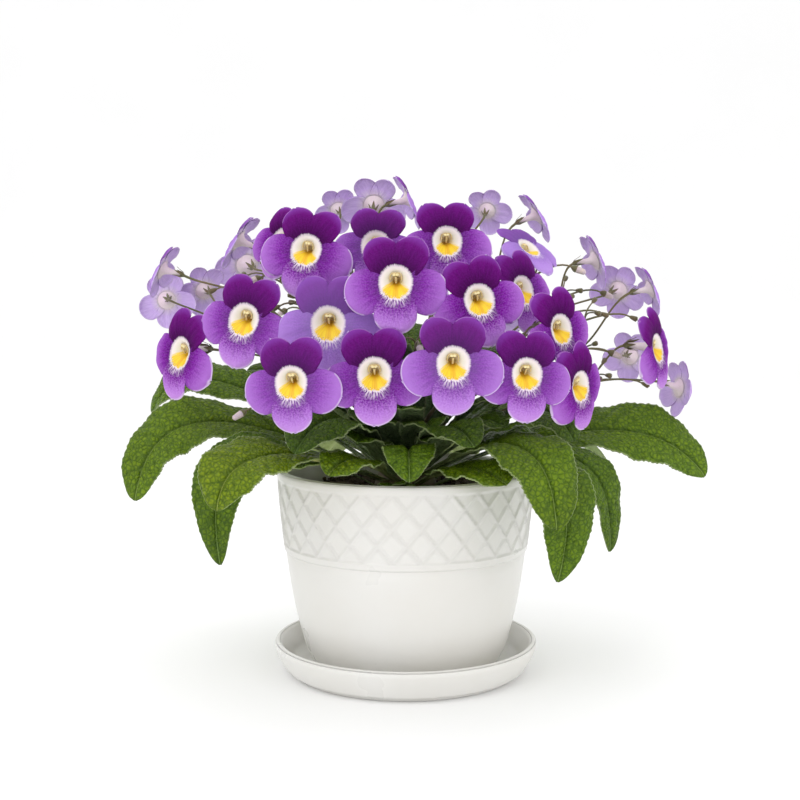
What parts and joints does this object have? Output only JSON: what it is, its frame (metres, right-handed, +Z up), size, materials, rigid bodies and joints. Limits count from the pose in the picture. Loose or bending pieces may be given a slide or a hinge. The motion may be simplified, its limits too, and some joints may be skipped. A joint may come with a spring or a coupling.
{
  "type": "potted streptocarpus",
  "caption": "Flowering house plant with violet five-lobed blooms over a rosette of long crinkled leaves, in a white ceramic pot with a raised lattice band, on a matching saucer.",
  "frame": {"origin": "centre of the saucer's flat underside, on the pot's axis", "axes": "+Z up along the pot's axis, -Y towards the plant's front, +X towards its right as seen from the front"},
  "size_m": [0.299, 0.232, 0.2556],
  "materials": {
    "glaze": "soft gloss white glaze",
    "soil": "matt moist potting soil",
    "leaf": "matt, quilted and finely haired",
    "stalk": "matt, finely haired",
    "petal": "matt, velvety"
  },
  "bodies": {
    "root": {"saucer": "glaze", "pot": "glaze", "soil": "soil", "crown_and_stalks": "stalk", "leaf_01": "leaf", "leaf_02": "leaf", "leaf_03": "leaf", "leaf_04": "leaf", "leaf_05": "leaf", "leaf_06": "leaf", "leaf_07": "leaf", "leaf_08": "leaf", "leaf_09": "leaf", "leaf_10": "leaf", "leaf_11": "leaf", "leaf_12": "leaf", "leaf_13": "leaf", "leaf_14": "leaf", "leaf_15": "leaf", "leaf_16": "leaf", "leaf_17": "leaf", "leaf_18": "leaf", "leaf_19": "leaf", "leaf_20": "leaf", "bloom_01": "petal", "bloom_02": "petal", "bloom_03": "petal", "bloom_04": "petal", "bloom_05": "petal", "bloom_06": "petal", "bloom_07": "petal", "bloom_08": "petal", "bloom_09": "petal", "bloom_10": "petal", "bloom_11": "petal", "bloom_12": "petal", "bloom_13": "petal", "bloom_14": "petal", "bloom_15": "petal", "bloom_16": "petal", "bloom_17": "petal", "bloom_18": "petal", "bloom_19": "petal", "bloom_20": "petal", "bloom_21": "petal", "bloom_22": "petal", "bloom_23": "petal", "bloom_24": "petal", "bloom_25": "petal", "bloom_26": "petal", "bloom_27": "petal", "bloom_28": "petal", "bloom_29": "petal", "bloom_30": "petal", "bloom_31": "petal", "bloom_32": "petal", "bloom_33": "petal", "bloom_34": "petal", "bloom_35": "petal", "bloom_36": "petal"}
  },
  "joints": []
}
